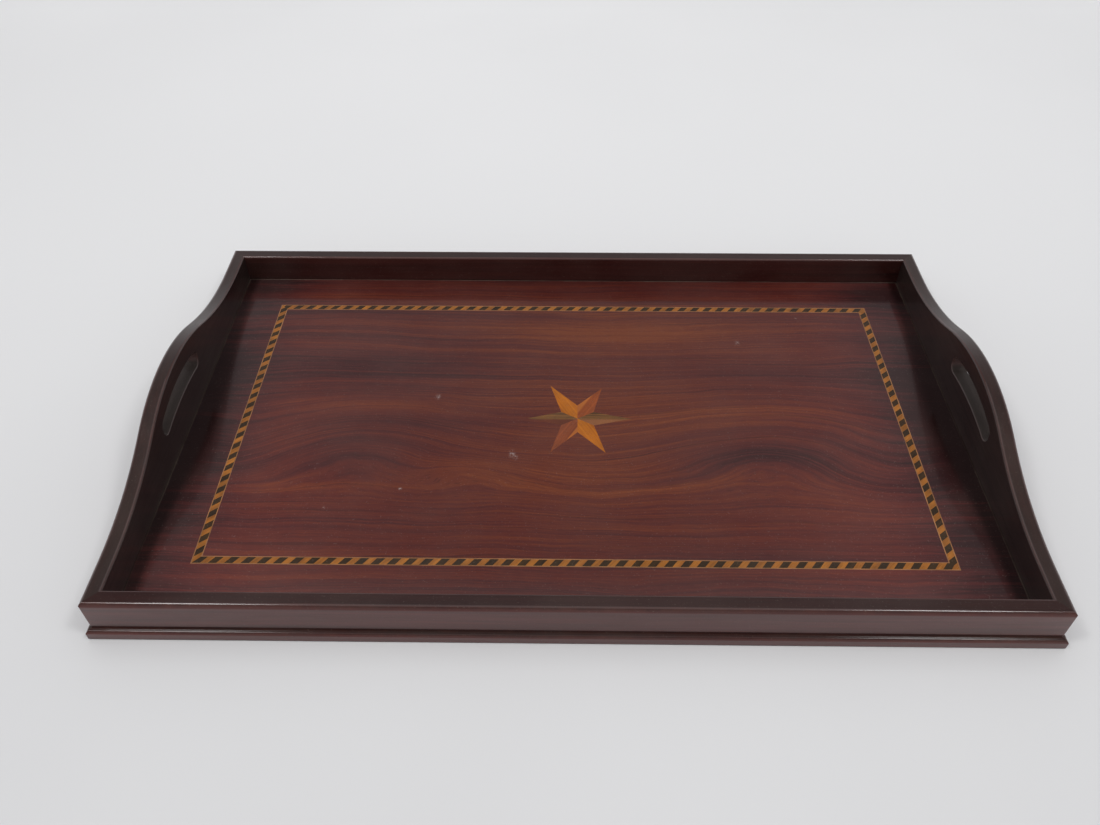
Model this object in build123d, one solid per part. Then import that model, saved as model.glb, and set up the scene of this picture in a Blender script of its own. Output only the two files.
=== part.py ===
from build123d import *
import math
import os

# An inlaid wooden serving tray with two humped handle boards, in millimetres, +Z up.
# The origin is on the table under the middle of the tray. X runs along the long sides,
# and -Y is the front, the side nearest to whoever looks at the tray.

# The whole tray, over its base moulding
tray_length = 609.0
tray_width = 379.0

# The board: a core with a veneer on each face, held just clear of the table
table_gap = 0.5
underside_veneer = 0.6
core_thickness = 7.5
face_veneer = 0.9

# The base moulding, planted round the edge of the board, with an ogee above a flat nose
moulding_projection = 3.0
moulding_under_rail = 2.0
moulding_quirk = 1.0
moulding_nose_height = 6.0
moulding_toe_round = 0.8
ogee_depth = 0.4

# The gallery: two low rails and two humped end boards, mitred at the corners
rail_thickness = 11.5
rail_height = 24.0
rail_outer_round = 3.0
rail_inner_round = 1.8
rail_foot_round = 1.5
gallery_corner_round = 1.2

# The serpentine top edge of an end board: a straight shoulder, a hollow and a crown
shoulder_length = 34.5
hump_rise = 30.2
hollow_radius_share = 0.61

# The kidney-shaped finger slot through each end board: a bowed sill under an arched top,
# cut a little nearer the front than the middle of the board
slot_length = 82.0
slot_forward_shift = 5.5
slot_sill_height = 26.7
slot_sill_bow = 4.0
slot_height = 14.6
slot_end_height = 12.5
slot_corner_share = 0.46
slot_edge_chamfer = 0.5

# A loose spline that crosses each mitre inside the wood
spline_width = 8.0
spline_thickness = 3.0
spline_length = 16.0
spline_lift = 3.0
spline_end_gap = 0.2

# The inlaid banding: slanting light and dark blocks between two fine lines, set in from
# the gallery by a margin at the ends and another at the long sides
margin_at_ends = 36.8
margin_at_sides = 37.3
line_width = 0.7
block_width = 5.0
light_block_length = 5.15
dark_block_length = 5.6
block_lean_share = 0.78
first_dark_block_shares = {"front": 0.0, "right": 0.5, "rear": 0.18, "left": 0.5}

# The six-pointed star, let into the field a little off its middle. It was cut by hand, so
# each point has its own share of the radius.
star_radius = 40.0
star_waist_radius = 14.3
star_offset = 3.5
star_point_shares = {"right": 1.03, "rear_right": 0.97, "rear_left": 1.05,
                     "left": 0.95, "front_left": 1.02, "front_right": 1.02}

# Countersunk slotted wood screws, up through the board into the gallery. They are small
# and many, so their rounds and the holes for them are drawn with a few flats.
screw_sides = 10
screw_length = 19.0
screw_head_diameter = 5.5
screw_shank_diameter = 2.8
screw_tip_diameter = 0.6
screw_point_length = 3.0
driver_slot_width = 0.8
driver_slot_depth = 0.7
driver_slot_turn = 47.0
screw_hole_gap = 0.05
screw_end_margin = 42.0
screw_spacing = 160.0

# How far a cutting tool runs past what it cuts
overrun = 1.0

# Heights and plan sizes that follow
core_bottom = table_gap + underside_veneer
core_top = core_bottom + core_thickness
floor_height = core_top + face_veneer
gallery_length = tray_length - 2 * moulding_projection
gallery_width = tray_width - 2 * moulding_projection
board_length = gallery_length - 2 * moulding_under_rail
board_width = gallery_width - 2 * moulding_under_rail
inlay_length = gallery_length - 2 * (rail_thickness + margin_at_ends)
inlay_width = gallery_width - 2 * (rail_thickness + margin_at_sides)
moulding_width = moulding_projection + moulding_under_rail
gallery_height = rail_height + hump_rise
banding_width = 2 * line_width + block_width

# The four sides, each a quarter turn on from the one before
sides = ["front", "right", "rear", "left"]


def half_sizes(side, length, width):
    """Half of a rectangle's run along a side, and half of its depth behind that side."""
    along, across = (length, width) if side in ("front", "rear") else (width, length)
    return along / 2, across / 2


def to_side(side, shape):
    """Carries a shape from the front of the tray to another side."""
    return Rot(0, 0, 90 * sides.index(side)) * shape


def outline(*points):
    return make_face(Polyline(*points, close=True))


def mitred_strip(half_x, half_y, width):
    """A strip along the front of a rectangle, cut at 45 degrees at both ends."""
    return outline(
        (-half_x, -half_y),
        (half_x, -half_y),
        (half_x - width, -half_y + width),
        (-half_x + width, -half_y + width),
    )


def slab(face, bottom, thickness):
    return extrude(Pos(0, 0, bottom) * face, amount=thickness)


def laid_in(face):
    """A piece of the face layer, as thick as its veneer and glued to the core."""
    return slab(face, core_top, face_veneer)


def screw_places():
    """Every screw's place on the board, midway between the board's edge and the well."""
    places = []
    inset = (rail_thickness - moulding_under_rail) / 2
    for side in sides:
        half_x, half_y = half_sizes(side, board_length, board_width)
        run = half_x - screw_end_margin
        gaps = max(1, round(2 * run / screw_spacing))
        for number in range(gaps + 1):
            along = -run + 2 * run * number / gaps
            places.append(to_side(side, Pos(along, -half_y + inset, table_gap)))
    return places


def screw_form(sections):
    """A solid through flat-sided sections, each given as a diameter across flats and a height."""
    form = Part()
    for (across, low), (next_across, high) in zip(sections, sections[1:]):
        ring = Pos(0, 0, low) * RegularPolygon(across / 2, screw_sides, major_radius=False)
        taper = math.degrees(math.atan2((across - next_across) / 2, high - low))
        form += extrude(ring, amount=high - low, taper=taper)
    return form


def screw_sections(gap):
    """A screw from the face of its head to its point, grown by a gap all round."""
    wider = 2 * gap
    return [
        (screw_head_diameter + wider, 0),
        (screw_shank_diameter + wider, (screw_head_diameter - screw_shank_diameter) / 2),
        (screw_shank_diameter + wider, screw_length - screw_point_length),
        (screw_tip_diameter + wider, screw_length + gap),
    ]


def screws():
    """The screws, each with its driver slot turned a little further than the last one's."""
    slot = Box(screw_head_diameter + overrun, driver_slot_width, 2 * driver_slot_depth)
    blank = screw_form(screw_sections(0))
    placed = enumerate(screw_places())
    return [place * (blank - Rot(0, 0, number * driver_slot_turn) * slot) for number, place in placed]


def screw_holes():
    """The drilled and countersunk holes, open through the underside."""
    sections = screw_sections(screw_hole_gap)
    hole = screw_form([(sections[0][0], -overrun)] + sections)
    return [place * hole for place in screw_places()]


def splines(end_gap):
    """One block across the middle of each mitre, or the mortise for it with an end gap."""
    size = (spline_width + 2 * end_gap, spline_thickness, spline_length + 2 * end_gap)
    block = Box(*size, align=(Align.CENTER, Align.CENTER, Align.MIN))
    lift = floor_height + spline_lift - end_gap
    found = {}
    for across, x in (("left", -1), ("right", 1)):
        for along, y in (("front", -1), ("rear", 1)):
            middle = Pos(
                x * (gallery_length - rail_thickness) / 2,
                y * (gallery_width - rail_thickness) / 2,
                lift,
            )
            found[f"{along}_{across}"] = middle * Rot(0, 0, -45 * x * y) * block
    return found


def base_moulding(side):
    """The planted moulding: quirk, hollow, round nose, flat and eased toe, then its flat back."""
    half_x, half_y = half_sizes(side, tray_length, tray_width)
    top = Vector(-half_y + moulding_projection + moulding_quirk, floor_height)
    nose = Vector(-half_y, moulding_nose_height)
    middle = (top + nose) / 2
    fall = nose - top
    outward = Vector(fall.Y, -fall.X).normalized() * ogee_depth
    back = -half_y + moulding_width
    toe = (1 - math.sqrt(0.5)) * moulding_toe_round
    profile = make_face(
        [
            ThreePointArc(top, (top + middle) / 2 - outward, middle),
            ThreePointArc(middle, (middle + nose) / 2 + outward, nose),
            Line(nose, (-half_y, moulding_toe_round)),
            ThreePointArc(
                (-half_y, moulding_toe_round),
                (-half_y + toe, toe),
                (-half_y + moulding_toe_round, 0),
            ),
            Polyline((-half_y + moulding_toe_round, 0), (back, 0), (back, floor_height), top),
        ]
    )
    length = 2 * (half_x + overrun)
    stick = extrude(Pos(-length / 2, 0, 0) * (Plane.YZ * profile), amount=length)
    mitres = slab(mitred_strip(half_x, half_y, moulding_width), 0, floor_height)
    return to_side(side, stick & mitres)


def low_outline(half_x):
    """A plain rail seen from the front, from its foot at height zero."""
    return outline((-half_x, 0), (half_x, 0), (half_x, rail_height), (-half_x, rail_height))


def humped_outline(half_x):
    """An end board seen from outside: straight shoulders, two hollows and a crown, all tangent."""
    foot = gallery_width / 2 - shoulder_length
    swing = 2 * math.atan(hump_rise / foot)
    radii = foot / math.sin(swing)
    hollow = radii * hollow_radius_share
    half_swing = swing / 2
    turn = (foot - hollow * math.sin(swing), rail_height + hollow * (1 - math.cos(swing)))
    bend = (
        foot - hollow * math.sin(half_swing),
        rail_height + hollow * (1 - math.cos(half_swing)),
    )
    return make_face(
        [
            Polyline((-foot, rail_height), (-half_x, rail_height), (-half_x, 0), (half_x, 0),
                     (half_x, rail_height), (foot, rail_height)),
            ThreePointArc((foot, rail_height), bend, turn),
            ThreePointArc(turn, (0, gallery_height), (-turn[0], turn[1])),
            ThreePointArc((-turn[0], turn[1]), (-bend[0], bend[1]), (-foot, rail_height)),
        ]
    )


def slot_outline():
    """The finger slot: a bowed sill, short ends and an arched top, with round corners."""
    half = slot_length / 2
    low = slot_sill_height - slot_sill_bow
    shoulder = low + slot_end_height
    crown = slot_sill_height + slot_height
    face = make_face(
        [
            ThreePointArc((-half, low), (0, slot_sill_height), (half, low)),
            Line((half, low), (half, shoulder)),
            ThreePointArc((half, shoulder), (0, crown), (-half, shoulder)),
            Line((-half, shoulder), (-half, low)),
        ]
    )
    return fillet(face.vertices(), radius=slot_end_height * slot_corner_share)


def gallery_board(side, face, slot=None):
    """A rail or end board: its outline at full thickness, edges eased, slot cut and ends mitred."""
    half_x, half_y = half_sizes(side, gallery_length, gallery_width)

    def plank(shape):
        inner_face = Pos(0, rail_thickness - half_y, floor_height) * (Plane.XZ * shape)
        return extrude(inner_face, amount=rail_thickness)

    board = plank(face)
    middle = floor_height + rail_height / 2

    def arris(which, above):
        edges = board.faces().sort_by(Axis.Y)[which].edges()
        if above:
            return [edge for edge in edges if edge.bounding_box().min.Z > middle]
        return [edge for edge in edges if edge.bounding_box().max.Z < middle]

    board = fillet(arris(0, True), radius=rail_outer_round)
    board = fillet(arris(-1, True), radius=rail_inner_round)
    board = fillet(arris(0, False), radius=rail_foot_round)
    if slot:
        board -= plank(slot)
        ends = board.faces().sort_by(Axis.Y)
        rims = [edge for end in (ends[0], ends[-1]) for edge in end.inner_wires()[0].edges()]
        board = chamfer(rims, slot_edge_chamfer)
    plan = mitred_strip(half_x, half_y, rail_thickness)
    plan &= RectangleRounded(2 * half_x, 2 * half_y, gallery_corner_round)
    board = to_side(side, board & slab(plan, floor_height, gallery_height))
    return board - screw_holes() - list(splines(spline_end_gap).values())


def blocks(side, start_share, length_share):
    """One wood's blocks on a side of the banding, all leaning the same way seen from above."""
    half_x, half_y = half_sizes(side, inlay_length - 2 * line_width, inlay_width - 2 * line_width)
    strip = mitred_strip(half_x, half_y, block_width)
    pairs = round(4 * half_x / (light_block_length + dark_block_length)) / 2
    pitch = 2 * half_x / pairs
    lean = block_lean_share * block_width
    spare = math.ceil(lean / pitch)
    if side in ("left", "right"):
        lean = -lean
    found = []
    for number in range(-1 - spare, math.ceil(pairs) + spare):
        start = -half_x + (number + start_share) * pitch
        end = start + length_share * pitch
        cell = outline(
            (start, -half_y),
            (end, -half_y),
            (end + lean, -half_y + block_width),
            (start + lean, -half_y + block_width),
        )
        cut = strip & cell
        if cut:
            found += [to_side(side, laid_in(face)) for face in cut.faces()]
    return found


def fine_line(side, length, width):
    """One fine line of the banding, along one side of a rectangle and inside it."""
    half_x, half_y = half_sizes(side, length, width)
    return to_side(side, laid_in(mitred_strip(half_x, half_y, line_width)))


def star_points():
    """The six kite-shaped points, each from the middle of the star out to its tip."""
    middle = Vector(star_offset, 0)
    half_turn = 180 / len(star_point_shares)
    found = {}
    for number, (name, share) in enumerate(star_point_shares.items()):
        bearing = 2 * half_turn * number
        found[name] = outline(
            middle,
            middle + Vector(star_waist_radius, 0).rotate(Axis.Z, bearing - half_turn),
            middle + Vector(star_radius * share, 0).rotate(Axis.Z, bearing),
            middle + Vector(star_waist_radius, 0).rotate(Axis.Z, bearing + half_turn),
        )
    return found


nodes = {}

# The board and its veneers
board_plan = Rectangle(board_length, board_width)
field_plan = Rectangle(inlay_length - 2 * banding_width, inlay_width - 2 * banding_width)
star = star_points()
nodes["core_board"] = slab(board_plan, core_bottom, core_thickness) - screw_holes()
nodes["underside_veneer"] = slab(board_plan, table_gap, underside_veneer) - screw_holes()
nodes["margin_veneer"] = laid_in(board_plan - Rectangle(inlay_length, inlay_width)) - screw_holes()
nodes["field_veneer"] = laid_in(field_plan - list(star.values()))
for name, face in star.items():
    nodes[f"star_{name}_point"] = laid_in(face)

# The banding, side by side
dark_share = dark_block_length / (dark_block_length + light_block_length)
inner_inset = 2 * (line_width + block_width)
for side in sides:
    first = first_dark_block_shares[side]
    nodes[f"{side}_dark_blocks"] = blocks(side, first, dark_share)
    nodes[f"{side}_light_blocks"] = blocks(side, first + dark_share, 1 - dark_share)
    nodes[f"{side}_outer_line"] = fine_line(side, inlay_length, inlay_width)
    nodes[f"{side}_inner_line"] = fine_line(side, inlay_length - inner_inset, inlay_width - inner_inset)

# The gallery, its splines, the base moulding and the screws
for side in ("front", "rear"):
    nodes[f"{side}_rail"] = gallery_board(side, low_outline(gallery_length / 2 + overrun))
for side, shift in (("left", slot_forward_shift), ("right", -slot_forward_shift)):
    face = humped_outline(gallery_width / 2 + overrun)
    nodes[f"{side}_end_board"] = gallery_board(side, face, Pos(shift, 0) * slot_outline())
for corner, block in splines(0).items():
    nodes[f"{corner}_spline"] = block
for side in sides:
    nodes[f"{side}_base_moulding"] = base_moulding(side)
nodes["board_screws"] = screws()

os.makedirs("parts", exist_ok=True)
for name, shape in nodes.items():
    pieces = list(shape) if isinstance(shape, list) else [shape]
    solids = [solid for piece in pieces for solid in piece.solids()]
    export_step(Compound(children=solids), f"parts/{name}.step")
    print(name, len(solids), "solids", round(sum(solid.volume for solid in solids)), "mm3")
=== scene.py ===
# %% [markdown]
# # An inlaid serving tray
#
# The tray is a veneered board with a rope-pattern banding and a six-pointed star let into
# it, inside a gallery of two low rails and two humped end boards with finger slots. The
# solids were built elsewhere and come in here as a fixed frame, so this lesson
# is about finish: polished wood, figured veneer, small coloured woods, and light on them.
# First the frame is loaded, because everything else takes its place from it.

# %% Load the frame
import math

import bmesh
import bpy
from mathutils import Matrix, Vector


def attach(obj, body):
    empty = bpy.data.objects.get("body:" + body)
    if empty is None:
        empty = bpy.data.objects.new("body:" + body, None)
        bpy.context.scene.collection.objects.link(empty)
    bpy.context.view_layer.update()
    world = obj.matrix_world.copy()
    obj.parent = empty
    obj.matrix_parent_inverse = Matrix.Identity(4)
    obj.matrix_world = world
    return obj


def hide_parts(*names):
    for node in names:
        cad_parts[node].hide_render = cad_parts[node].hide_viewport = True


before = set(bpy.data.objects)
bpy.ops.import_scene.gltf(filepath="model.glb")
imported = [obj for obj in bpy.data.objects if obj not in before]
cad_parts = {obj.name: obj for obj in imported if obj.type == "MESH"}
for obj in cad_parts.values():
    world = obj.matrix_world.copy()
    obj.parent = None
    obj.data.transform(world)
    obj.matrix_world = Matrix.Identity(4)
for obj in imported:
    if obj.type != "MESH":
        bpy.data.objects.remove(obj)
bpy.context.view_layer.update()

MM = 0.001

# %% [markdown]
# ## The camera
#
# The photograph was taken from in front and above, by hand, so the view is turned and
# tilted a little. A camera can be set by eye, or worked out from corners whose real places
# are known. The second way was used: rail, banding and moulding corners gave the focal
# length, the place and three angles. The axes are built from those angles as a matrix,
# because its columns are simply the camera's right, up and backward directions.

# %% Set the camera
PHOTO_WIDTH = 1100
SENSOR_WIDTH = 36
focal_pixels = 919.3
camera_place = Vector((-9.8, -495.8, 506.3)) * MM
pitch = math.radians(44.687)
yaw = math.radians(-0.884)
roll = math.radians(0.214)


def new_object(name, data):
    """An object in the scene for a mesh, a camera or a lamp."""
    made = bpy.data.objects.new(name, data)
    bpy.context.scene.collection.objects.link(made)
    return made


def set_camera():
    forward = Vector(
        (math.sin(yaw) * math.cos(pitch), math.cos(yaw) * math.cos(pitch), -math.sin(pitch))
    )
    level = Vector((math.cos(yaw), -math.sin(yaw), 0))
    down = forward.cross(level)
    right = math.cos(roll) * level + math.sin(roll) * down
    up = math.sin(roll) * level - math.cos(roll) * down
    lens = bpy.data.cameras.new("photo_camera")
    lens.sensor_fit = "HORIZONTAL"
    lens.sensor_width = SENSOR_WIDTH
    lens.lens = focal_pixels / PHOTO_WIDTH * SENSOR_WIDTH
    camera = new_object("photo_camera", lens)
    turn = Matrix((right, up, -forward)).transposed().to_4x4()
    camera.matrix_world = Matrix.Translation(camera_place) @ turn
    bpy.context.scene.camera = camera
    return lens.lens


print("lens", round(set_camera(), 2), "mm")

# %% [markdown]
# ## Small helpers for node trees
#
# A material is a graph of nodes. Each node could be made in three or four lines by hand,
# which soon hides what the material does, so these helpers make a node, join its inputs
# and give back its output. Colours are written as screen values from 0 to 255 and turned
# into light, because that is how one reads them off a picture.

# %% Make nodes and join them


def colour(red, green, blue):
    """A colour written as on a screen, turned into the linear light that shaders use."""
    parts = [value / 255 for value in (red, green, blue)]
    linear = [p / 12.92 if p <= 0.04045 else ((p + 0.055) / 1.055) ** 2.4 for p in parts]
    return (*linear, 1.0)


def join(tree, socket, value):
    """Links a node's output to an input, or sets the input to a plain value."""
    if isinstance(value, bpy.types.NodeSocket):
        tree.links.new(value, socket)
    else:
        socket.default_value = value


def add(tree, kind, *values, **settings):
    """A node with its settings and, in order, its input values."""
    made = tree.nodes.new("ShaderNode" + kind)
    for name, value in settings.items():
        setattr(made, name, value)
    for socket, value in zip(made.inputs, values):
        join(tree, socket, value)
    return made


print("a mid grey is", round(colour(128, 128, 128)[0], 3), "in linear light")

# %% Sums on values, vectors and colours


def maths(tree, operation, *values, clamp=False):
    return add(tree, "Math", *values, operation=operation, use_clamp=clamp).outputs[0]


def plus(tree, one, other, clamp=False):
    return maths(tree, "ADD", one, other, clamp=clamp)


def times(tree, one, other, clamp=False):
    return maths(tree, "MULTIPLY", one, other, clamp=clamp)


def vectors(tree, operation, *values):
    made = add(tree, "VectorMath", *values, operation=operation)
    return made.outputs["Value" if operation in ("DOT_PRODUCT", "LENGTH") else "Vector"]


def mixed(tree, mask, below, above, blend="MIX"):
    """Two colours mixed by a mask from 0 to 1."""
    made = add(tree, "Mix", mask, data_type="RGBA", blend_type=blend)
    join(tree, made.inputs[6], below)
    join(tree, made.inputs[7], above)
    return made.outputs[2]


def remap(tree, value, low, high, to_low=0.0, to_high=1.0):
    """A value stretched from one range to another and held inside it."""
    return add(tree, "MapRange", value, low, high, to_low, to_high).outputs[0]


def ramp(tree, value, stops):
    """A colour ramp from (place, colour) pairs."""
    made = add(tree, "ValToRGB", value)
    elements = made.color_ramp.elements
    while len(elements) < len(stops):
        elements.new(0.5)
    for element, (place, shade) in zip(elements, stops):
        element.position = place
        element.color = shade
    return made.outputs[0]


print("sums on nodes are ready")

# %% Places and noise


def placed(tree, turn=0.0, centre=(0, 0, 0)):
    """Object coordinates, moved to a centre and turned so that X runs along the grain."""
    coordinates = add(tree, "TexCoord").outputs["Object"]
    moved = vectors(tree, "SUBTRACT", coordinates, centre)
    made = add(tree, "Mapping", moved)
    made.inputs["Rotation"].default_value = (0, 0, -turn)
    return made.outputs[0]


def split(tree, vector):
    """The X, Y and Z of a vector."""
    return add(tree, "SeparateXYZ", vector).outputs


def noise(tree, vector, stretch, detail=2.0, roughness=0.5):
    """Cloudy noise on a vector in metres, with so many features a metre each way."""
    scaled = vectors(tree, "MULTIPLY", vector, stretch)
    made = add(tree, "TexNoise", noise_dimensions="3D")
    join(tree, made.inputs["Vector"], scaled)
    made.inputs["Scale"].default_value = 1.0
    made.inputs["Detail"].default_value = detail
    made.inputs["Roughness"].default_value = roughness
    return made.outputs[0]


print("places and noise are ready")

# %% [markdown]
# ## Groups that several finishes share
#
# Straight grain, worn edges and hand polish show up in nearly every wood here. Each could be
# drawn again in every material, but then a change would have to be made many times. A
# node group is built once and placed where it is needed, with its own colours. A group
# only hands out colours, masks and heights; the shader stays in the material.

# %% Start a group and place it


def new_group(name, inputs, outputs):
    """An empty node group. Inputs are (label, kind, default) and outputs (label, kind)."""
    tree = bpy.data.node_groups.new(name, "ShaderNodeTree")
    for label, kind, default in inputs:
        socket = tree.interface.new_socket(
            label, in_out="INPUT", socket_type="NodeSocket" + kind
        )
        if kind != "Vector":
            socket.default_value = default
    for label, kind in outputs:
        tree.interface.new_socket(label, in_out="OUTPUT", socket_type="NodeSocket" + kind)
    given = tree.nodes.new("NodeGroupInput").outputs
    return tree, given, tree.nodes.new("NodeGroupOutput").inputs


def use(tree, group, **values):
    """Places a group in a tree. An underscore in a name stands for a space."""
    made = tree.nodes.new("ShaderNodeGroup")
    made.node_tree = group
    for name, value in values.items():
        join(tree, made.inputs[name.replace("_", " ")], value)
    return made.outputs


print("group helpers are ready")

# %% Straight grain
GRAIN_SWAY = 6 * MM


def straight_grain_group():
    """Stripes, fine lines and open pores along X, swaying a little."""
    tree, given, out = new_group(
        "straight_grain",
        [
            ("Vector", "Vector", None),
            ("Early", "Color", colour(120, 60, 40)),
            ("Late", "Color", colour(70, 30, 20)),
            ("Pores", "Color", colour(30, 15, 10)),
            ("Fineness", "Float", 1.0),
        ],
        [("Color", "Color"), ("Height", "Float")],
    )
    vector = vectors(tree, "SCALE", given["Vector"])
    join(tree, vector.node.inputs["Scale"], given["Fineness"])
    sway = maths(tree, "SUBTRACT", noise(tree, vector, (5, 14, 14)), 0.5)
    sway = times(tree, sway, GRAIN_SWAY)
    sideways = add(tree, "CombineXYZ", 0.0, sway, sway).outputs[0]
    bent = vectors(tree, "ADD", vector, sideways)
    stripes = noise(tree, bent, (4, 230, 230), 5, 0.62)
    lines = noise(tree, bent, (22, 1300, 1300), 2)
    pores = remap(tree, noise(tree, bent, (120, 3300, 3300), 1), 0.58, 0.7)
    broken = remap(tree, noise(tree, bent, (9, 160, 160), 1), 0.38, 0.62, 0.25, 1.0)
    pores = times(tree, pores, broken)
    tone = plus(tree, times(tree, stripes, 0.75), times(tree, lines, 0.25))
    wood = mixed(tree, remap(tree, tone, 0.36, 0.64), given["Late"], given["Early"])
    join(tree, out["Color"], mixed(tree, times(tree, pores, 0.7), wood, given["Pores"]))
    join(tree, out["Height"], maths(tree, "SUBTRACT", times(tree, lines, 0.3), pores))
    return tree


straight_grain = straight_grain_group()
print(straight_grain.name, len(straight_grain.nodes), "nodes")

# %% Hand polish: smudges, ripples and fine dust


def smudged(tree, vector, amount):
    """Masks for soft smudges and for the dust that lies on them."""
    smudges = remap(tree, noise(tree, vector, (14, 19, 19), 4, 0.6), 0.35, 0.68)
    specks = remap(tree, noise(tree, vector, (900, 900, 900), 1), 0.66, 0.78)
    film = times(tree, smudges, 0.35)
    return smudges, times(tree, plus(tree, specks, film), amount, clamp=True)


def hand_polish_group():
    """Roughness between two values in smudges, with the faint ripple of built-up polish."""
    tree, given, out = new_group(
        "hand_polish",
        [
            ("Vector", "Vector", None),
            ("Smooth", "Float", 0.12),
            ("Rough", "Float", 0.3),
            ("Dust", "Float", 0.2),
        ],
        [("Roughness", "Float"), ("Dust Mask", "Float"), ("Height", "Float")],
    )
    vector = given["Vector"]
    smudges, dust = smudged(tree, vector, given["Dust"])
    wipes = remap(tree, noise(tree, vector, (30, 210, 210), 3), 0.3, 0.75)
    both = times(tree, smudges, plus(tree, times(tree, wipes, 0.6), 0.4))
    span = maths(tree, "SUBTRACT", given["Rough"], given["Smooth"])
    rough = plus(tree, given["Smooth"], times(tree, both, span))
    join(tree, out["Roughness"], plus(tree, rough, times(tree, dust, 0.3), clamp=True))
    join(tree, out["Dust Mask"], dust)
    join(tree, out["Height"], noise(tree, vector, (55, 140, 140), 2))
    return tree


hand_polish = hand_polish_group()
print(hand_polish.name, len(hand_polish.nodes), "nodes")

# %% Worn edges


def worn_edges_group():
    """A mask that is strongest where a surface turns halfway between face and edge."""
    tree, given, out = new_group(
        "worn_edges",
        [("Vector", "Vector", None), ("Across", "Float", 0.0), ("Amount", "Float", 0.6)],
        [("Mask", "Float")],
    )
    square = times(tree, given["Across"], given["Across"])
    turned = times(tree, square, maths(tree, "SUBTRACT", 1.0, square))
    turned = times(tree, turned, 4.0, clamp=True)
    broken = remap(tree, noise(tree, given["Vector"], (60, 60, 60), 5, 0.7), 0.38, 0.66)
    mask = times(tree, turned, plus(tree, times(tree, broken, 0.8), 0.2))
    join(tree, out["Mask"], times(tree, mask, given["Amount"], clamp=True))
    return tree


worn_edges = worn_edges_group()
print(worn_edges.name, len(worn_edges.nodes), "nodes")

# %% [markdown]
# ## Dark polished mahogany
#
# The rails, end boards and base moulding are mahogany stained nearly black-red under many
# rubbed coats of polish. Such wood shows three things at once: a dark body, a red satin
# from its fibres, and the clear gloss on top. A red base colour alone would look like
# paint, so the body stays dark, the specular is tinted red and streaked along the grain,
# and the Principled shader's coat carries the gloss. The grain has to run along each board,
# so the same recipe is made once for boards along X and once along Y. Age is not even
# either: the arrises are rubbed and the slots are rougher. Light and shade are painted in
# too: the level tops are painted darker under a thinner coat, a painted shadow lies in the
# quirk over the moulding, the slots are painted grey for their lit sheen, and the faces
# that look inward are painted darkest, as shade. All of these are found from where a point
# lies and which way its surface turns.

# %% Start a material
DUST = colour(150, 140, 130)
PALE_DUST = colour(170, 155, 145)


def start_material(name):
    material = bpy.data.materials.new(name)
    material.use_nodes = True
    tree = material.node_tree
    return material, tree, tree.nodes["Principled BSDF"].inputs


def relief(tree, height, depth):
    """A bump whose whole height is so many metres."""
    made = add(tree, "Bump")
    made.inputs["Strength"].default_value = 1.0
    made.inputs["Distance"].default_value = depth
    join(tree, made.inputs["Height"], height)
    return made.outputs[0]


def tint_satin(tree, skin, usual, shade):
    """Tints the specular, as a usual colour times how much each place differs from it.

    An export that can't carry the nodes still finds the usual colour in the product.
    """
    differs = vectors(tree, "DIVIDE", shade, usual[:3])
    join(tree, skin["Specular Tint"], mixed(tree, 1.0, usual, differs, blend="MULTIPLY"))


print("material helpers are ready")

# %% Where the boards are worn or painted with shade

# The base moulding meets the rails here, and a painted shade spreads so far from there
QUIRK_HEIGHT = 8.9 * MM
QUIRK_CORE = 1.0 * MM
QUIRK_REACH = 1.7 * MM
# A finger slot's surfaces lie in a band of heights and near the middle of the boards
SLOT_HEIGHT = 43 * MM
SLOT_HALF_HEIGHT = 10 * MM
SLOT_REACH = 48 * MM


def shade_and_wear_places(tree, facing, across, inward_shade_share):
    """Masks for the quirk's painted shade, dull slots, inward faces, upward faces and level tops.
    """
    place = split(tree, placed(tree))
    away = maths(tree, "ABSOLUTE", maths(tree, "SUBTRACT", place["Z"], QUIRK_HEIGHT))
    high = maths(tree, "COMPARE", place["Z"], SLOT_HEIGHT, SLOT_HALF_HEIGHT)
    middle = maths(tree, "LESS_THAN", maths(tree, "ABSOLUTE", place["Y"]), SLOT_REACH)
    through = remap(tree, maths(tree, "ABSOLUTE", facing["X"]), 0.9, 0.6)
    outward = times(tree, maths(tree, "SIGN", place[across]), facing[across])
    level = remap(tree, maths(tree, "ABSOLUTE", facing[across]), 0.04, 0.2, 1.0, 0.0)
    upward = remap(tree, facing["Z"], 0.3, 0.8)
    # The quirk, the inward faces and the level tops take painted shade; the slots are painted grey
    # for their lit sheen
    return {
        "quirk": remap(tree, away, QUIRK_CORE, QUIRK_REACH, 1.0, 0.0),
        "slot": times(tree, times(tree, high, middle), through),
        "inner": times(tree, remap(tree, outward, -0.5, -0.9), inward_shade_share),
        "upward": upward,
        "shaded_top": times(tree, level, upward),
    }


print("slots between", SLOT_HEIGHT - SLOT_HALF_HEIGHT, "and", SLOT_HEIGHT + SLOT_HALF_HEIGHT)

# %% The colour of mahogany


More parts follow.
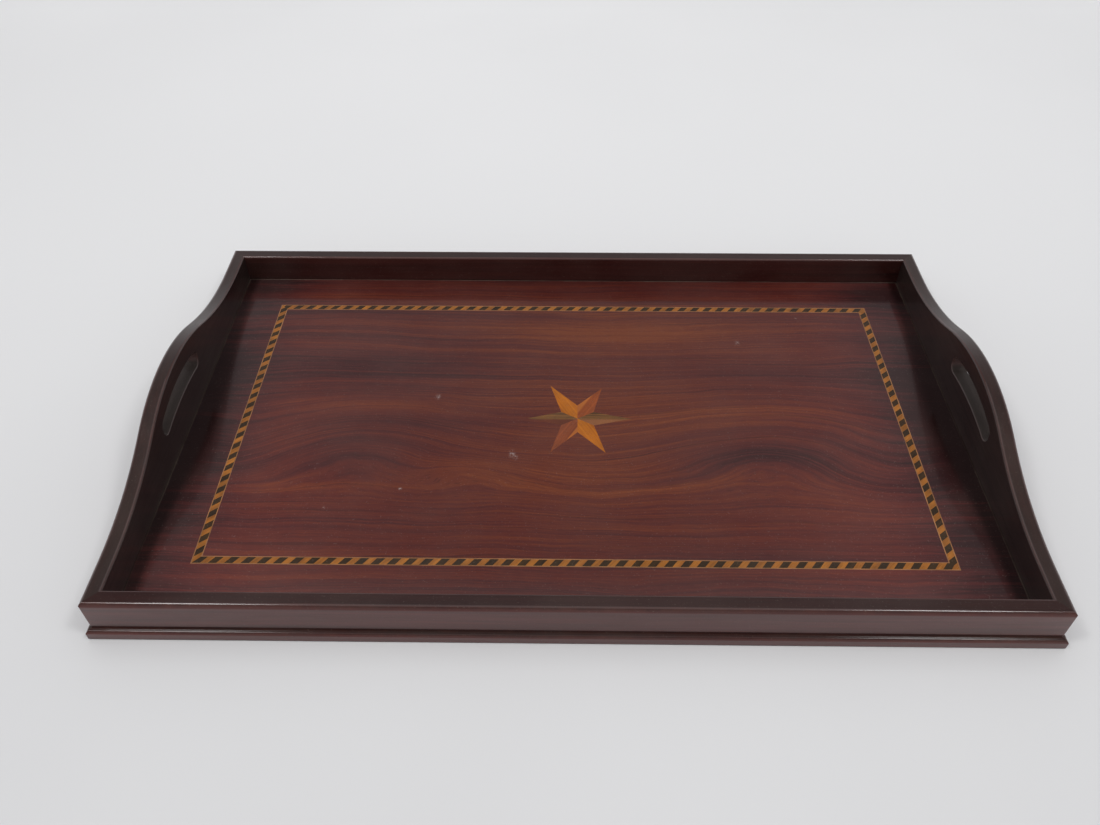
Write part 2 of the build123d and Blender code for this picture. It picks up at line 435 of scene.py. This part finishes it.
def mahogany_colour(tree, vector, turned, masks, painted_top_shade):
    """The wood's colour with its wear and painted shade, and the height of its grain."""
    grain = use(
        tree,
        straight_grain,
        Vector=vector,
        Early=colour(56, 22, 18),
        Late=colour(31, 13, 11),
        Pores=colour(15, 7, 6),
        Fineness=1.0,
    )
    rubbed = use(tree, worn_edges, Vector=vector, Across=turned, Amount=0.3)["Mask"]
    wood = mixed(tree, rubbed, grain["Color"], colour(96, 50, 38))
    for place, share, shade in (
        # level tops: painted shade
        ("shaded_top", 0.7, painted_top_shade),
        # inward faces: painted shade, nearly black
        ("inner", 1.0, colour(12, 8, 8)),
        # the quirk: painted shadow
        ("quirk", 0.45, colour(26, 15, 12)),
        # the slots: rougher, and painted grey in place of their lit sheen
        ("slot", 0.8, colour(44, 38, 35)),
    ):
        wood = mixed(tree, times(tree, masks[place], share), wood, shade)
    return wood, grain["Height"]


print("mahogany colours are ready")

# %% The shine of mahogany
RED_SATIN = colour(255, 100, 86)
GREY_SATIN = colour(190, 170, 165)
SATIN_LEVEL = 0.64
# How much of its shine the painted shade in the quirk takes away
QUIRK_SHADE_LOSS = 0.75


def mahogany_shine(tree, skin, vector, masks, upward_satin):
    """Streaked red satin, paler upward and greyer inward, under a coat thinned where shade is
    painted.
    """
    unshaded = maths(tree, "SUBTRACT", 1.0, times(tree, masks["quirk"], QUIRK_SHADE_LOSS))
    silk = remap(tree, noise(tree, vector, (7, 260, 260), 5, 0.65), 0.36, 0.64, 0.72, 1.2)
    silk = times(tree, silk, SATIN_LEVEL)
    join(tree, skin["Specular IOR Level"], times(tree, unshaded, silk))
    # Upward faces take a paler satin and inward faces a grey one, along with their painted shade
    satin = mixed(tree, masks["upward"], RED_SATIN, upward_satin)
    tint_satin(tree, skin, RED_SATIN, mixed(tree, masks["inner"], satin, GREY_SATIN))
    coat = remap(tree, masks["shaded_top"], 0.0, 1.0, 0.84, 0.32)
    join(tree, skin["Coat Weight"], times(tree, unshaded, coat))
    join(tree, skin["Coat Roughness"], remap(tree, masks["slot"], 0.0, 1.0, 0.12, 0.6))


print("red satin", [round(part, 3) for part in RED_SATIN[:3]])

# %% Polished mahogany

# How much rougher the wood under the coat is than the polish, and how rough a slot is
UNDER_COAT = 0.18
SLOT_ROUGHNESS = 0.75


def mahogany(name, turn, across, painted_top_shade, upward_satin, inward_shade_share):
    """Mahogany, its grain turned from X, for boards whose thickness is along one axis."""
    material, tree, skin = start_material(name)
    vector = placed(tree, turn)
    facing = split(tree, add(tree, "TexCoord").outputs["Normal"])
    masks = shade_and_wear_places(tree, facing, across, inward_shade_share)
    wood, grain = mahogany_colour(tree, vector, facing[across], masks, painted_top_shade)
    polish = use(tree, hand_polish, Vector=vector, Smooth=0.16, Rough=0.34, Dust=0.1)
    join(tree, skin["Base Color"], mixed(tree, polish["Dust Mask"], wood, DUST))
    rough = plus(tree, polish["Roughness"], UNDER_COAT)
    dull = times(tree, masks["slot"], SLOT_ROUGHNESS)
    join(tree, skin["Roughness"], maths(tree, "MAXIMUM", rough, dull))
    height = plus(tree, polish["Height"], times(tree, grain, 0.25))
    join(tree, skin["Normal"], relief(tree, height, 0.06 * MM))
    mahogany_shine(tree, skin, vector, masks, upward_satin)
    return material


def dress(material, *names):
    """Gives carried-over nodes a material."""
    for name in names:
        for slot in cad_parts[name].material_slots:
            slot.material = material


# The colours are the painted shade on the level tops and the satin of upward faces; the last
# number is how dark the painted shade on inward faces is.
mahogany_along_x = mahogany(
    "mahogany_along_x", 0.0, "Y", colour(28, 12, 11), colour(115, 68, 64), 0.3
)
mahogany_along_y = mahogany(
    "mahogany_along_y", math.pi / 2, "X", colour(38, 27, 24), colour(98, 80, 76), 0.85
)
for material, kind, sides in (
    (mahogany_along_x, "rail", ("front", "rear")),
    (mahogany_along_y, "end_board", ("left", "right")),
):
    for side in sides:
        dress(material, f"{side}_{kind}", f"{side}_base_moulding")
print("mahogany on 8 boards")

# %% [markdown]
# ## The figured veneer
#
# The floor is one sheet of figured veneer: long lines that wander, bunch up and curl round
# two dark eyes. A wave texture gives lines that are too even. Real figure is a cut through
# growth rings, so it is drawn as a height map: the distance from the front edge, lifted
# and sunk by soft swellings, and every line follows one height. The swellings were placed
# by looking at the tray. Fine lines, broad colour and open pores are then noise that
# is quick across the height and slow along it. Under polish most of this colour is not
# body colour but shine from the fibres, so the same picture also tints an anisotropic
# specular, smeared across the grain, and only a share of it is left in the base. A
# swelling could be a group, but an export can't read a group behind a tint, so a plain
# function makes its few nodes anew each time.

# %% A soft swelling


def swelling(tree, vector, x, y, radius_x, radius_y, height):
    """A bell-shaped value round a place. The place and the radii are in millimetres."""
    away = vectors(tree, "SUBTRACT", vector, (x * MM, y * MM, 0))
    away = vectors(tree, "DIVIDE", away, (radius_x * MM, radius_y * MM, 1))
    square = vectors(tree, "DOT_PRODUCT", away, away)
    return times(tree, maths(tree, "EXPONENT", times(tree, square, -1.0)), height)


def swellings(tree, vector, places):
    """The sum of swellings given as x, y, radius x, radius y and height."""
    total = 0.0
    for place in places:
        total = plus(tree, total, swelling(tree, vector, *place))
    return total


print("swellings are ready")

# %% Where the figure lies

# Where the lines are lifted or sunk, and by how many millimetres
FIGURE_LIFTS = (
    (-150, 2, 70, 46, -15),
    (150, 4, 82, 44, -16),
    (-160, -36, 60, 28, -20),
    (140, -40, 70, 26, -22),
    (-70, -54, 40, 16, -14),
    (232, -46, 44, 34, 11),
    (-246, -26, 36, 40, 12),
    (30, 84, 150, 34, 7),
    (-220, 78, 70, 36, -5),
    (20, -100, 120, 26, 5),
)
# Where the wood glows orange, and where it goes dark and purple, with how much
WARM_PLACES = (
    (10, 10, 120, 110, 0.3),
    (20, 112, 240, 26, 0.12),
    (45, 104, 85, 18, 0.3),
    (-78, -48, 34, 8, 0.14),
    (10, -60, 80, 20, 0.16),
    (-150, 16, 90, 8, 0.22),
    (150, 14, 90, 9, 0.16),
    (-215, -30, 34, 20, 0.2),
    (-190, -72, 80, 8, 0.22),
    (-20, -156, 250, 7, 0.08),
)
COOL_AND_SHADED_PLACES = (
    (-150, 58, 120, 26, 0.22),
    (120, 52, 150, 20, 0.16),
    (140, -38, 62, 17, 0.3),
    (-175, -40, 50, 20, 0.26),
    (-60, -5, 90, 8, 0.22),
    (-20, 170, 320, 14, 0.12),
    (0, -168, 330, 30, 0.16),
    (0, -173, 300, 6, 0.3),
    (-270, 158, 40, 24, 0.35),
    (272, 158, 46, 24, 0.4),
    # The last two are painted shade, in strips along the end boards
    (-288, -20, 42, 180, 0.6),
    (286, -20, 48, 180, 0.65),
)
print(len(FIGURE_LIFTS), "lifts,", len(WARM_PLACES), "warm and", len(COOL_AND_SHADED_PLACES), "cool places")

# %% The lines of the figure
WANDER = 20 * MM
SHIVER = 1.6 * MM
# Features a metre along, across and through the sheet, detail, roughness and share
FIGURE_LAYERS = (
    ((1.6, 46, 1), 2, 0.5, 0.3),
    ((3, 190, 1), 4, 0.6, 0.38),
    ((7, 760, 1), 2, 0.5, 0.2),
    ((90, 700, 1), 2, 0.5, 0.12),
)


def figure_lines(tree, vector):
    """The veneer's own coordinates, in which every line of the figure runs straight."""
    x, y, z = split(tree, vector)
    ring = plus(tree, y, times(tree, swellings(tree, vector, FIGURE_LIFTS), MM))
    for stretch, detail, reach in (((6, 12, 1), 3, WANDER), ((40, 60, 1), 2, SHIVER)):
        drift = maths(tree, "SUBTRACT", noise(tree, vector, stretch, detail), 0.5)
        ring = plus(tree, ring, times(tree, drift, reach))
    return add(tree, "CombineXYZ", x, ring, z).outputs[0]


def figure_tone(tree, vector, along):
    """How light the wood is, from 0 to 1: layers of noise, then warm places, and cool places with
    painted shade among them.
    """
    tone = 0.0
    for stretch, detail, roughness, share in FIGURE_LAYERS:
        tone = plus(tree, tone, times(tree, noise(tree, along, stretch, detail, roughness), share))
    tone = plus(tree, remap(tree, tone, 0.3, 0.7), swellings(tree, vector, WARM_PLACES))
    return maths(tree, "SUBTRACT", tone, swellings(tree, vector, COOL_AND_SHADED_PLACES), clamp=True)


print(len(FIGURE_LAYERS), "layers of lines")

# %% Old wax and scuffs

# Half the length and width of the floor inside the gallery
FLOOR_HALF_LENGTH = 290 * MM
FLOOR_HALF_WIDTH = 175 * MM
# How far old wax reaches, how softly it ends, and how near a corner it is unbroken
WAX_REACH = 1.5 * MM
WAX_START, WAX_END = -0.2 * MM, 0.5 * MM
WAX_CORNER = 6 * MM
# Small pale marks of use on the floor: x, y, radius x, radius y and strength
SCUFFS = (
    (-45, -37, 1.6, 2.6, 0.9),
    (-42, -40.5, 1.2, 1.6, 0.8),
    (-105, 23, 1.6, 2.2, 0.6),
    (-123, -71.5, 0.9, 0.9, 0.9),
    (-174, -89.5, 0.8, 0.8, 0.7),
    (137, 90, 1.6, 2.6, 0.35),
    (191, 123, 0.8, 0.8, 0.5),
)


def waxed_corner(tree, vector, wood):
    """Pale old wax and dust caught where the floor meets the gallery."""
    place = split(tree, vector)
    to_end = maths(tree, "SUBTRACT", FLOOR_HALF_LENGTH, maths(tree, "ABSOLUTE", place["X"]))
    to_side = maths(tree, "SUBTRACT", FLOOR_HALF_WIDTH, maths(tree, "ABSOLUTE", place["Y"]))
    near = maths(tree, "MINIMUM", to_end, to_side)
    ragged = times(tree, noise(tree, vector, (110, 110, 110), 4, 0.65), WAX_REACH)
    near = maths(tree, "SUBTRACT", near, ragged)
    mask = remap(tree, near, WAX_START, WAX_END, 0.8, 0.0)
    broken = remap(tree, noise(tree, vector, (17, 17, 17), 3, 0.7), 0.36, 0.62, 0.15, 1.0)
    far = maths(tree, "MAXIMUM", to_end, to_side)
    corner = remap(tree, far, WAX_CORNER, 3 * WAX_CORNER, 1.0, 0.0)
    mask = times(tree, mask, maths(tree, "MAXIMUM", broken, corner))
    return mixed(tree, mask, wood, colour(92, 80, 72)), mask


def scuffed(tree, vector, wood):
    """The wood with its small pale marks."""
    ragged = remap(tree, noise(tree, vector, (700, 500, 500), 3, 0.7), 0.42, 0.6)
    mask = times(tree, swellings(tree, vector, SCUFFS), ragged, clamp=True)
    return mixed(tree, times(tree, mask, 0.7), wood, colour(190, 175, 170))


print(len(SCUFFS), "scuffs")

# %% The colour of the veneer
WOOD_TONES = (
    (0.0, colour(38, 16, 17)),
    (0.3, colour(65, 25, 24)),
    (0.55, colour(82, 32, 25)),
    (0.8, colour(97, 42, 24)),
    (1.0, colour(112, 53, 25)),
)
FLOOR_DUST = 0.08


def veneer_colour(tree, vector, along):
    """The veneer's colour under its polish, and masks for its pores and the old wax."""
    wood = ramp(tree, figure_tone(tree, vector, along), WOOD_TONES)
    dark_lines = remap(tree, noise(tree, along, (2.2, 330, 1), 3, 0.55), 0.58, 0.72)
    pores = remap(tree, noise(tree, along, (150, 3000, 1), 1), 0.6, 0.72)
    wood = mixed(tree, times(tree, dark_lines, 0.6), wood, colour(42, 14, 14))
    wood = mixed(tree, times(tree, pores, 0.35), wood, colour(28, 10, 9))
    dust = smudged(tree, vector, FLOOR_DUST)[1]
    wood, wax = waxed_corner(tree, vector, mixed(tree, dust, wood, PALE_DUST))
    return scuffed(tree, vector, wood), pores, wax


print("wood tones from", WOOD_TONES[0][1][0], "to", WOOD_TONES[-1][1][0], "in red")

# %% Figured veneer

# How much of the wood's colour is body colour, how strongly its fibres shine, and what
# colour that shine usually has
BODY_SHARE = 0.36
SATIN_GAIN = 8.0
FLOOR_SATIN = colour(208, 95, 76)


def fibre_satin(tree, skin, shade):
    """Coloured shine of the fibres under the polish, smeared across the grain."""
    tint_satin(tree, skin, FLOOR_SATIN, shade)
    join(tree, skin["Tangent"], add(tree, "CombineXYZ", 0.0, 1.0, 0.0).outputs[0])
    skin["Specular IOR Level"].default_value = 1.0
    skin["IOR"].default_value = 1.6
    skin["Anisotropic"].default_value = 0.9


def figured_veneer_material():
    material, tree, skin = start_material("figured_floor_veneer")
    vector = placed(tree)
    wood, pores, wax = veneer_colour(tree, vector, figure_lines(tree, vector))
    polish = use(tree, hand_polish, Vector=vector, Smooth=0.4, Rough=0.5, Dust=FLOOR_DUST)
    join(tree, skin["Base Color"], vectors(tree, "MULTIPLY", wood, (BODY_SHARE,) * 3))
    join(tree, skin["Roughness"], plus(tree, polish["Roughness"], times(tree, wax, 0.3)))
    height = maths(tree, "SUBTRACT", polish["Height"], times(tree, pores, 0.12))
    join(tree, skin["Normal"], relief(tree, height, 0.05 * MM))
    fibre_satin(tree, skin, vectors(tree, "MULTIPLY", wood, (SATIN_GAIN,) * 3))
    skin["Coat Weight"].default_value = 0.6
    skin["Coat Roughness"].default_value = 0.12
    return material


figured_veneer = figured_veneer_material()
dress(figured_veneer, "margin_veneer", "field_veneer")
print("veneer on the margin and the field,", len(figured_veneer.node_tree.nodes), "nodes")

# %% [markdown]
# ## The banding and the star
#
# The banding is hundreds of slanting blocks of a yellow wood and a dark one between two
# pale lines, and the star is six kites in three woods. They are separate solids already,
# so they only need their woods. A plain colour would look printed. Each wood keeps a fine
# grain, its shade drifts from block to block, and a thin polish lies over all of it. Some
# of the star's kites also show a second shade, so they take a streak with a ragged edge.

# %% Small inlaid woods
STREAK_RAGGED = 0.8 * MM


def streaked(tree, vector, wood, shade, start, end):
    """The wood with a second shade past a ragged edge that runs along the grain."""
    ragged = times(tree, noise(tree, vector, (60, 400, 1)), STREAK_RAGGED)
    edge = plus(tree, split(tree, vector)["Y"], ragged)
    return mixed(tree, remap(tree, edge, start * MM, end * MM), wood, shade)


def inlaid_wood(name, shades, turn, drift=0.25, centre=(0, 0, 0), streak=None):
    """A small piece of wood under polish, in an early and a late shade."""
    material, tree, skin = start_material(name)
    vector = placed(tree, turn, centre)
    early, late = shades
    pores = tuple(part * 0.45 for part in late[:3]) + (1.0,)
    grain = use(
        tree, straight_grain, Vector=vector, Early=early, Late=late, Pores=pores, Fineness=1.7
    )
    wood = grain["Color"]
    if streak:
        wood = streaked(tree, vector, wood, *streak)
    shift = noise(tree, vector, (70, 70, 1), 1)
    shift = remap(tree, shift, 0.35, 0.65, 1 - drift, 1 + drift * 0.5)
    # An even hue and saturation, a drifting value, and the whole effect
    wood = add(tree, "HueSaturation", 0.5, 1.0, shift, 1.0, wood).outputs[0]
    polish = use(tree, hand_polish, Vector=vector, Smooth=0.2, Rough=0.36, Dust=0.08)
    join(tree, skin["Base Color"], mixed(tree, polish["Dust Mask"], wood, PALE_DUST))
    join(tree, skin["Roughness"], polish["Roughness"])
    height = plus(tree, polish["Height"], grain["Height"])
    join(tree, skin["Normal"], relief(tree, height, 0.03 * MM))
    skin["Specular IOR Level"].default_value = 0.15
    skin["Coat Weight"].default_value = 0.28
    skin["Coat Roughness"].default_value = 0.12
    return material


print("inlaid woods are ready")

# %% Dress the banding
SLANT = math.radians(47)
YELLOW = (colour(162, 101, 34), colour(134, 79, 27))
DARK = (colour(58, 37, 8), colour(36, 23, 6))
PALE = (colour(160, 112, 72), colour(130, 86, 54))

yellow_blocks = inlaid_wood("yellow_blocks", YELLOW, SLANT)
dark_blocks = inlaid_wood("dark_blocks", DARK, SLANT)
for sides, turn in ((("front", "rear"), 0.0), (("left", "right"), math.pi / 2)):
    pale_line = inlaid_wood(f"pale_line_{sides[0]}", PALE, turn)
    for side in sides:
        dress(yellow_blocks, f"{side}_light_blocks")
        dress(dark_blocks, f"{side}_dark_blocks")
        dress(pale_line, f"{side}_outer_line", f"{side}_inner_line")
print("banding dressed")

# %% The star's six points
STAR_CENTRE = (3.5 * MM, 0, 0)
AMBER = (colour(176, 103, 21), colour(152, 80, 17))
RUSSET = (colour(142, 70, 30), colour(116, 54, 24))
BRICK = (colour(134, 68, 37), colour(106, 52, 31))
OLIVE = (colour(126, 84, 42), colour(62, 40, 24))
TAN = colour(160, 90, 38)
BROWN = colour(92, 46, 30)
PINKISH = colour(126, 78, 46)

# Each point's bearing in degrees, its wood, and a streak's shade, start and end in
# millimetres across it
STAR_POINTS = {
    "right": (0, OLIVE, (PINKISH, 0.6, -1.0)),
    "rear_right": (60, RUSSET, (TAN, 2.6, 3.8)),
    "rear_left": (120, AMBER, None),
    "left": (180, OLIVE, (BROWN, 0.8, 2.0)),
    "front_left": (240, BRICK, (TAN, 4.2, 5.0)),
    "front_right": (300, AMBER, None),
}
for name, (bearing, shades, streak) in STAR_POINTS.items():
    turn = math.radians(bearing)
    point = inlaid_wood(f"star_{name}_wood", shades, turn, 0.12, STAR_CENTRE, streak)
    dress(point, f"star_{name}_point")
print(len(STAR_POINTS), "star points dressed")

# %% [markdown]
# ## Wood that is seldom seen
#
# The core of the board shows only in the screw holes, the splines are inside the mitres,
# and the underside is seen when the tray is turned over. They are the same straight grain
# in paler, drier colours with no coat, because nobody polished them.

# %% Plain woods


def plain_wood(name, early, late, turn, roughness):
    """Dusty wood without polish, in an early and a late shade."""
    material, tree, skin = start_material(name)
    vector = placed(tree, turn)
    grain = use(
        tree, straight_grain, Vector=vector, Early=early, Late=late, Pores=colour(40, 24, 16)
    )
    dusty = use(
        tree, hand_polish, Vector=vector, Smooth=roughness, Rough=roughness + 0.2, Dust=0.5
    )
    wood = mixed(tree, dusty["Dust Mask"], grain["Color"], colour(150, 135, 118))
    join(tree, skin["Base Color"], wood)
    join(tree, skin["Roughness"], dusty["Roughness"])
    join(tree, skin["Normal"], relief(tree, grain["Height"], 0.08 * MM))
    return material


board_core = plain_wood("board_core", colour(178, 128, 84), colour(140, 94, 60), 0.0, 0.6)
underside = plain_wood("underside", colour(110, 62, 40), colour(76, 40, 27), 0.0, 0.45)
dress(board_core, "core_board")
dress(underside, "underside_veneer")
for name, turn in (("left", -math.pi / 4), ("right", math.pi / 4)):
    across_mitre = plain_wood(
        f"{name}_spline_wood", colour(150, 100, 62), colour(112, 70, 42), turn, 0.6
    )
    dress(across_mitre, f"front_{name}_spline", f"rear_{name}_spline")
print("core, underside and splines dressed")

# %% [markdown]
# ## The screws underneath
#
# Slotted wood screws hold the gallery to the board. The frame has them with flat sides, to
# stay light. A round screw could be a cone and a cylinder joined; here one profile is
# drawn from the head to the point, ridges and all, and spun once round the screw's axis,
# which keeps it a single clean skin. A boolean cuts the driver slot. Copies go where
# the frame's screws are, each with its slot turned further.

# %% Find the screws

# Points this near the lowest one are on the heads, and this near each other on one head
SAME_HEIGHT = 0.1 * MM
SAME_HEAD = 8 * MM


def screw_centres():
    """The middle of each screw's head, from the lowest points of the frame's screws."""
    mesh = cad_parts["board_screws"].data
    lowest = min(vertex.co.z for vertex in mesh.vertices)
    heads = []
    for vertex in mesh.vertices:
        if vertex.co.z < lowest + SAME_HEIGHT:
            place = vertex.co.xy
            near = (head for head in heads if (head[0] - place).length < SAME_HEAD)
            head = next(near, None)
            if head is None:
                heads.append([place])
            else:
                head.append(place)
    found = []
    for points in heads:
        spans = [[point[axis] for point in points] for axis in (0, 1)]
        found.append(Vector([(min(span) + max(span)) / 2 for span in spans] + [lowest]))
    return found


centres = screw_centres()
print(len(centres), "screws")

# %% Spin one screw
HEAD_RADIUS = 2.7 * MM
HEAD_RIM = 0.15 * MM
HEAD_HEIGHT = 1.5 * MM
SHANK_RADIUS = 1.38 * MM
CORE_RADIUS = 1.0 * MM
SCREW_LENGTH = 18.9 * MM
THREAD_START = 8.0 * MM
THREAD_END = 16.5 * MM
THREAD_PITCH = 1.2 * MM
SCREW_STEPS = 24
MERGE_DISTANCE = 0.001 * MM


def screw_profile():
    """Half of the screw's outline, from the middle of its head to its point."""
    points = [(0, 0), (HEAD_RADIUS, 0), (HEAD_RADIUS, HEAD_RIM), (SHANK_RADIUS, HEAD_HEIGHT)]
    points.append((SHANK_RADIUS, THREAD_START))
    height = THREAD_START
    while height + THREAD_PITCH < THREAD_END:
        points.append((CORE_RADIUS, height + THREAD_PITCH * 0.5))
        points.append((SHANK_RADIUS, height + THREAD_PITCH))
        height += THREAD_PITCH
    points += [(CORE_RADIUS, THREAD_END), (0, SCREW_LENGTH)]
    return points


def screw_mesh():
    mesh = bpy.data.meshes.new("screw")
    shape = bmesh.new()
    points = [shape.verts.new((x, 0, z)) for x, z in screw_profile()]
    edges = [shape.edges.new(pair) for pair in zip(points, points[1:])]
    bmesh.ops.spin(
        shape,
        geom=points + edges,
        cent=(0, 0, 0),
        axis=(0, 0, 1),
        angle=2 * math.pi,
        steps=SCREW_STEPS,
        use_merge=True,
    )
    bmesh.ops.remove_doubles(shape, verts=shape.verts, dist=MERGE_DISTANCE)
    bmesh.ops.recalc_face_normals(shape, faces=shape.faces)
    shape.to_mesh(mesh)
    shape.free()
    return mesh


round_screw = screw_mesh()
print("a round screw has", len(round_screw.polygons), "faces")

# %% Cut the driver slot
SLOT_CUTTER = (8 * MM, 0.8 * MM, 1.4 * MM)


def slotted(mesh):
    """The screw with its driver slot cut by a boolean, as a finished mesh."""
    cutter_mesh = bpy.data.meshes.new("slot")
    shape = bmesh.new()
    bmesh.ops.create_cube(shape, size=1.0)
    bmesh.ops.scale(shape, vec=SLOT_CUTTER, verts=shape.verts)
    shape.to_mesh(cutter_mesh)
    shape.free()
    body = new_object("screw", mesh)
    cutter = new_object("slot", cutter_mesh)
    cut = body.modifiers.new("slot", "BOOLEAN")
    cut.object = cutter
    cut.operation = "DIFFERENCE"
    cut.solver = "EXACT"
    shown = body.evaluated_get(bpy.context.evaluated_depsgraph_get())
    finished = bpy.data.meshes.new_from_object(shown)
    for item in (body, cutter):
        bpy.data.objects.remove(item)
    return finished


one_screw = slotted(round_screw)
print("one screw has", len(one_screw.polygons), "faces")

# %% Copy the screw to every place
SLOT_TURN = math.radians(47)


def aged_steel():
    """Dull steel with fine patches of rust."""
    material, tree, skin = start_material("aged_steel")
    vector = placed(tree)
    rust = remap(tree, noise(tree, vector, (700, 700, 700), 5, 0.65), 0.48, 0.66)
    join(tree, skin["Base Color"], mixed(tree, rust, colour(120, 116, 110), colour(70, 44, 30)))
    join(tree, skin["Metallic"], maths(tree, "SUBTRACT", 1.0, rust, clamp=True))
    join(tree, skin["Roughness"], remap(tree, rust, 0.0, 1.0, 0.32, 0.8))
    pitted = noise(tree, vector, (1500, 1500, 1500), 3)
    join(tree, skin["Normal"], relief(tree, pitted, 0.04 * MM))
    return material


def all_screws():
    """One mesh of all the screws, each with its slot turned further than the last."""
    mesh = bpy.data.meshes.new("slotted_screws")
    shape = bmesh.new()
    for number, centre in enumerate(centres):
        before = set(shape.verts)
        shape.from_mesh(one_screw)
        fresh = [vertex for vertex in shape.verts if vertex not in before]
        turn = Matrix.Rotation(number * SLOT_TURN, 3, "Z")
        bmesh.ops.rotate(shape, verts=fresh, cent=(0, 0, 0), matrix=turn)
        bmesh.ops.translate(shape, verts=fresh, vec=centre)
    shape.to_mesh(mesh)
    shape.free()
    mesh.materials.clear()
    mesh.materials.append(aged_steel())
    return mesh


slotted_screws = new_object("slotted_screws", all_screws())
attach(slotted_screws, "root")
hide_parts("board_screws")
print("screws:", len(slotted_screws.data.polygons), "faces")

# %% [markdown]
# ## Floor and light
#
# The tray stands on white paper under broad, soft light from above, with pale walls round
# the room. Those walls matter as much as the lamp: the polish mirrors them, which is
# the pale veil over the dark wood. A picture of a room could be wrapped round the scene,
# but a pale world that dims towards the ceiling does the same and looks right from every
# side. A broad lamp overhead gives the soft shadows, and two small ones, to the left and
# the right, draw the thin bright lines on the rounded rails. Far off, where little light
# falls, the paper would look grey, so there the camera alone sees it a little paler.

# %% Paper

# Distances from the tray's middle: the paper is painted paler from front to back, and all round,
# as painted light
FLOOR_SIZE = 9.0
PAPER_FRONT, PAPER_BACK = -0.5, 0.9
PALE_FROM, PALE_TO = 0.9, 1.9
GLOW_FROM, GLOW_TO = 1.3, 3.0


def white_paper():
    material, tree, skin = start_material("white_paper")
    vector = placed(tree)
    clouds = remap(tree, noise(tree, vector, (1.3, 1.3, 1), 3), 0.35, 0.65)
    distance = vectors(tree, "LENGTH", vector)
    # Painted light: the paper is darker at the front, paler far off, and glows there for the
    # camera
    back = remap(tree, split(tree, vector)["Y"], PAPER_FRONT, PAPER_BACK)
    pale = maths(tree, "MAXIMUM", back, remap(tree, distance, PALE_FROM, PALE_TO))
    plain = mixed(tree, pale, colour(198, 198, 199), colour(248, 248, 248))
    clouded = mixed(tree, times(tree, clouds, 0.4), plain, colour(226, 226, 226))
    join(tree, skin["Base Color"], clouded)
    join(tree, skin["Roughness"], remap(tree, clouds, 0.0, 1.0, 0.6, 0.75))
    join(tree, skin["Normal"], relief(tree, noise(tree, vector, (9, 9, 1), 3), 0.6 * MM))
    skin["Specular IOR Level"].default_value = 0.2
    seen = add(tree, "LightPath").outputs["Is Camera Ray"]
    painted_glow = remap(tree, distance, GLOW_FROM, GLOW_TO, 0.0, 0.35)
    join(tree, skin["Emission Strength"], times(tree, seen, painted_glow))
    return material


def paper_mesh():
    mesh = bpy.data.meshes.new("paper_floor")
    shape = bmesh.new()
    bmesh.ops.create_grid(shape, x_segments=8, y_segments=8, size=FLOOR_SIZE / 2)
    shape.to_mesh(mesh)
    shape.free()
    mesh.materials.append(white_paper())
    return mesh


paper_floor = new_object("paper_floor", paper_mesh())
print("floor", FLOOR_SIZE, "m")

# %% World and lamps

# How bright the walls and the ceiling are, and between which heights they change over
WALL_LEVEL, CEILING_LEVEL = 0.72, 0.34
WALL_TOP, CEILING_START = 0.2, 0.9
SEEN_LEVEL = 0.8
TRAY_MIDDLE = Vector((0, 0, 0))
# Each lamp's place, size in metres and power in watts
LAMPS = {
    "ceiling_lamp": ((0, 0, 2.0), 2.4, 15),
    "left_lamp": ((-1.0, -0.5, 1.9), 0.4, 9),
    "right_lamp": ((1.0, -0.5, 1.9), 0.4, 9),
}


def set_world():
    world = bpy.data.worlds.new("pale_room")
    world.use_nodes = True
    bpy.context.scene.world = world
    tree = world.node_tree
    sky = tree.nodes["Background"]
    sky.inputs["Color"].default_value = colour(252, 252, 255)
    height = split(tree, add(tree, "TexCoord").outputs["Generated"])["Z"]
    level = remap(tree, height, WALL_TOP, CEILING_START, WALL_LEVEL, CEILING_LEVEL)
    seen = times(tree, add(tree, "LightPath").outputs["Is Camera Ray"], SEEN_LEVEL)
    join(tree, sky.inputs["Strength"], maths(tree, "MAXIMUM", level, seen))


def soft_lamp(name, place, size, power):
    """A square lamp that points at the middle of the tray."""
    light = bpy.data.lights.new(name, "AREA")
    light.shape = "SQUARE"
    light.size = size
    light.energy = power
    lamp = new_object(name, light)
    lamp.location = place
    aim = TRAY_MIDDLE - Vector(place)
    lamp.rotation_euler = aim.to_track_quat("-Z", "Y").to_euler()


set_world()
for name, (place, size, power) in LAMPS.items():
    soft_lamp(name, place, size, power)
bpy.context.scene.view_settings.view_transform = "Standard"
print("room from", WALL_LEVEL, "to", CEILING_LEVEL, "with", len(LAMPS), "lamps")
